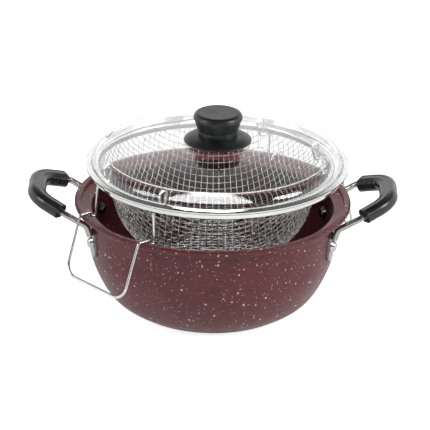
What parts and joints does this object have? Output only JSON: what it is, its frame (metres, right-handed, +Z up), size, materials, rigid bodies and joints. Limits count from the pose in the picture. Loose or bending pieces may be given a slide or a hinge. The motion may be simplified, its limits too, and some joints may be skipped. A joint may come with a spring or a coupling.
{
  "type": "deep-frying pot with draining basket",
  "caption": "Round stovetop frying pot with riveted side handles, a hook-over wire mesh draining basket and a domed glass lid with a knob.",
  "frame": {"origin": "centre of the pot's flat base, on the table", "axes": "+Z up along the pot's axis; the two riveted side handles lie along X; the hook-over basket handles lie towards -X-Y and +X+Y"},
  "size_m": [0.3474, 0.26, 0.192],
  "materials": {
    "pot_stone": "speckled stone-effect non-stick coating",
    "steel": "polished stainless",
    "dark_steel": "dark polished steel",
    "mesh_steel": "woven wire",
    "wire_steel": "bright drawn wire",
    "bakelite": "semi-gloss phenolic",
    "knob_plastic": "satin phenolic",
    "glass": "clear tempered",
    "brass": "turned",
    "silicone": "matte silicone"
  },
  "bodies": {
    "pot": {"pot_body": "pot_stone", "left_handle_rod": "steel", "right_handle_rod": "steel", "left_handle_grip": "bakelite", "right_handle_grip": "bakelite", "left_grip_clip": "dark_steel", "right_grip_clip": "dark_steel", "left_grip_screw": "steel", "right_grip_screw": "steel", "left_front_rivet": "dark_steel", "left_rear_rivet": "dark_steel", "right_front_rivet": "dark_steel", "right_rear_rivet": "dark_steel"},
    "basket": {"basket_mesh": "mesh_steel", "basket_rim_band": "steel", "basket_rim_wire": "mesh_steel"},
    "front_bail": {"basket_handle_front": "wire_steel"},
    "rear_bail": {"basket_handle_rear": "wire_steel"},
    "lid": {"lid_glass": "glass", "lid_rim": "steel", "lid_knob": "knob_plastic", "knob_flange": "knob_plastic", "knob_insert": "brass", "knob_screw": "steel", "knob_washer": "steel", "knob_gasket": "silicone", "under_gasket": "silicone"}
  },
  "joints": [
    {"name": "basket_lift", "type": "slide", "parent": "pot", "child": "basket", "axis": [0, 0, 1], "range_m": [0, 0.12]},
    {"name": "lid_lift", "type": "slide", "parent": "basket", "child": "lid", "axis": [0, 0, 1], "range_m": [0, 0.08]},
    {"name": "front_bail_swing", "type": "hinge", "parent": "basket", "child": "front_bail", "pos_m": [-0.07861, -0.06834, 0.1314], "axis": [-0.6561, 0.7547, 0], "range_deg": [0, 45]},
    {"name": "rear_bail_swing", "type": "hinge", "parent": "basket", "child": "rear_bail", "pos_m": [0.07861, 0.06834, 0.1314], "axis": [0.6561, -0.7547, 0], "range_deg": [0, 45]}
  ],
  "couplings": [
    {"joint": "front_bail_swing", "follows": "basket_lift", "rad_per_m": 6.54},
    {"joint": "rear_bail_swing", "follows": "basket_lift", "rad_per_m": 6.54}
  ]
}
